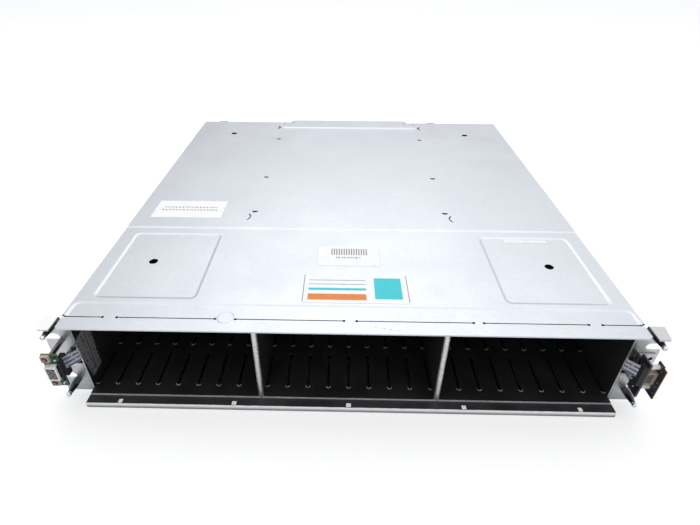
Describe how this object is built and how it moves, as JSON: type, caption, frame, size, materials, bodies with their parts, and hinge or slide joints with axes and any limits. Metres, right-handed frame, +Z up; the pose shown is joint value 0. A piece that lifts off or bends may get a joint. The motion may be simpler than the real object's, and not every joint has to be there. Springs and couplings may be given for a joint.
{
  "type": "rack storage array",
  "caption": "Rack-mount storage enclosure with open front drive bays, pressed top cover, slotted ears with a display board, and sliding power and controller modules at the rear.",
  "frame": {"origin": "on the underside, on the centre line, below the front face of the rack ears", "axes": "+Z up, -Y towards the drive bays at the front, +X to the right as seen from the front"},
  "size_m": [0.4826, 0.4846, 0.0879],
  "materials": {
    "galvanised_steel": "galvanised sheet, fine grain",
    "black_paint": "black coat with bare cut edges",
    "bright_steel": "bright nickel",
    "dark_steel": "dark plated",
    "green_board": "green solder mask",
    "dark_board": "dark solder mask, gilt edges",
    "black_plastic": "moulded",
    "white_plastic": "moulded",
    "cream_plastic": "moulded",
    "brown_plastic": "moulded",
    "grey_plastic": "moulded",
    "ribbon_film": "white film with violet stripes"
  },
  "bodies": {
    "chassis": {"chassis_pan": "galvanised_steel", "top_cover": "galvanised_steel", "front_sill": "black_paint", "cage_floor": "black_paint", "cage_ceiling": "black_paint", "divider_left": "black_paint", "divider_right": "black_paint", "side_liner_left": "black_paint", "side_liner_right": "black_paint", "midplane_board": "green_board", "drive_connectors": "black_plastic", "midplane_screws": "bright_steel", "module_sockets": "black_plastic", "bay_wall_left": "galvanised_steel", "bay_wall_right": "galvanised_steel", "controller_shelf": "galvanised_steel", "rack_ear_left": "galvanised_steel", "rack_ear_right": "galvanised_steel", "ball_studs": "bright_steel", "display_board": "green_board", "display_standoffs": "dark_steel", "digit_display": "white_plastic", "switch_bodies": "cream_plastic", "ribbon_left": "ribbon_film", "ribbon_right": "ribbon_film", "ribbon_headers": "black_plastic", "board_bracket": "galvanised_steel", "inner_board": "dark_board", "outer_board": "dark_board", "board_spacers": "white_plastic", "link_connector": "cream_plastic", "notch_grommets": "black_plastic"},
    "psu_left": {"psu_case_left": "galvanised_steel", "psu_board_left": "green_board", "fan_frame_left": "black_plastic", "fan_guard_left": "bright_steel", "power_inlet_left": "black_plastic"},
    "fan_left": {"fan_rotor_left": "black_plastic"},
    "rocker_left": {"rocker_switch_left": "black_plastic"},
    "psu_handle_left": {"psu_lever_left": "grey_plastic"},
    "psu_right": {"psu_case_right": "galvanised_steel", "psu_board_right": "green_board", "fan_frame_right": "black_plastic", "fan_guard_right": "bright_steel", "power_inlet_right": "black_plastic"},
    "fan_right": {"fan_rotor_right": "black_plastic"},
    "rocker_right": {"rocker_switch_right": "black_plastic"},
    "psu_handle_right": {"psu_lever_right": "grey_plastic"},
    "controller_lower": {"controller_case_lower": "galvanised_steel", "controller_board_lower": "green_board", "network_sockets_lower": "bright_steel"},
    "eject_lower_left": {"eject_lever_lower_left": "grey_plastic"},
    "eject_lower_right": {"eject_lever_lower_right": "grey_plastic"},
    "controller_upper": {"controller_case_upper": "galvanised_steel", "controller_board_upper": "green_board", "network_sockets_upper": "bright_steel"},
    "eject_upper_left": {"eject_lever_upper_left": "grey_plastic"},
    "eject_upper_right": {"eject_lever_upper_right": "grey_plastic"},
    "button_upper": {"push_button_upper": "brown_plastic"},
    "button_lower": {"push_button_lower": "brown_plastic"}
  },
  "joints": [
    {"name": "psu_slide_left", "type": "slide", "parent": "chassis", "child": "psu_left", "axis": [0, 1, 0], "range_m": [0, 0.28]},
    {"name": "fan_spin_left", "type": "hinge", "parent": "psu_left", "child": "fan_left", "pos_m": [-0.1587, 0.4348, 0.0476], "axis": [0, 1, 0], "continuous": true},
    {"name": "rocker_tilt_left", "type": "hinge", "parent": "psu_left", "child": "rocker_left", "pos_m": [-0.1176, 0.4444, 0.053], "axis": [-1, 0, 0], "range_deg": [0, 18]},
    {"name": "psu_lever_swing_left", "type": "hinge", "parent": "psu_left", "child": "psu_handle_left", "pos_m": [-0.1968, 0.452, 0.0111], "axis": [-1, 0, 0], "range_deg": [0, 75]},
    {"name": "psu_slide_right", "type": "slide", "parent": "chassis", "child": "psu_right", "axis": [0, 1, 0], "range_m": [0, 0.28]},
    {"name": "fan_spin_right", "type": "hinge", "parent": "psu_right", "child": "fan_right", "pos_m": [0.1662, 0.4348, 0.0476], "axis": [0, 1, 0], "continuous": true},
    {"name": "rocker_tilt_right", "type": "hinge", "parent": "psu_right", "child": "rocker_right", "pos_m": [0.2073, 0.4444, 0.053], "axis": [-1, 0, 0], "range_deg": [0, 18]},
    {"name": "psu_lever_swing_right", "type": "hinge", "parent": "psu_right", "child": "psu_handle_right", "pos_m": [0.1281, 0.452, 0.0111], "axis": [-1, 0, 0], "range_deg": [0, 75]},
    {"name": "controller_slide_lower", "type": "slide", "parent": "chassis", "child": "controller_lower", "axis": [0, 1, 0], "range_m": [0, 0.28]},
    {"name": "eject_lower_left_swing", "type": "hinge", "parent": "controller_lower", "child": "eject_lower_left", "pos_m": [-0.0936, 0.452, 0.0223], "axis": [0, 0, 1], "range_deg": [0, 75]},
    {"name": "eject_lower_right_swing", "type": "hinge", "parent": "controller_lower", "child": "eject_lower_right", "pos_m": [0.0936, 0.452, 0.0223], "axis": [0, 0, -1], "range_deg": [0, 75]},
    {"name": "controller_slide_upper", "type": "slide", "parent": "chassis", "child": "controller_upper", "axis": [0, 1, 0], "range_m": [0, 0.28]},
    {"name": "eject_upper_left_swing", "type": "hinge", "parent": "controller_upper", "child": "eject_upper_left", "pos_m": [-0.0936, 0.452, 0.0639], "axis": [0, 0, 1], "range_deg": [0, 75]},
    {"name": "eject_upper_right_swing", "type": "hinge", "parent": "controller_upper", "child": "eject_upper_right", "pos_m": [0.0936, 0.452, 0.0639], "axis": [0, 0, -1], "range_deg": [0, 75]},
    {"name": "button_press_upper", "type": "slide", "parent": "chassis", "child": "button_upper", "axis": [0, 1, 0], "range_m": [0, 0.0006], "stiffness_N_per_m": 400},
    {"name": "button_press_lower", "type": "slide", "parent": "chassis", "child": "button_lower", "axis": [0, 1, 0], "range_m": [0, 0.0006], "stiffness_N_per_m": 400}
  ]
}
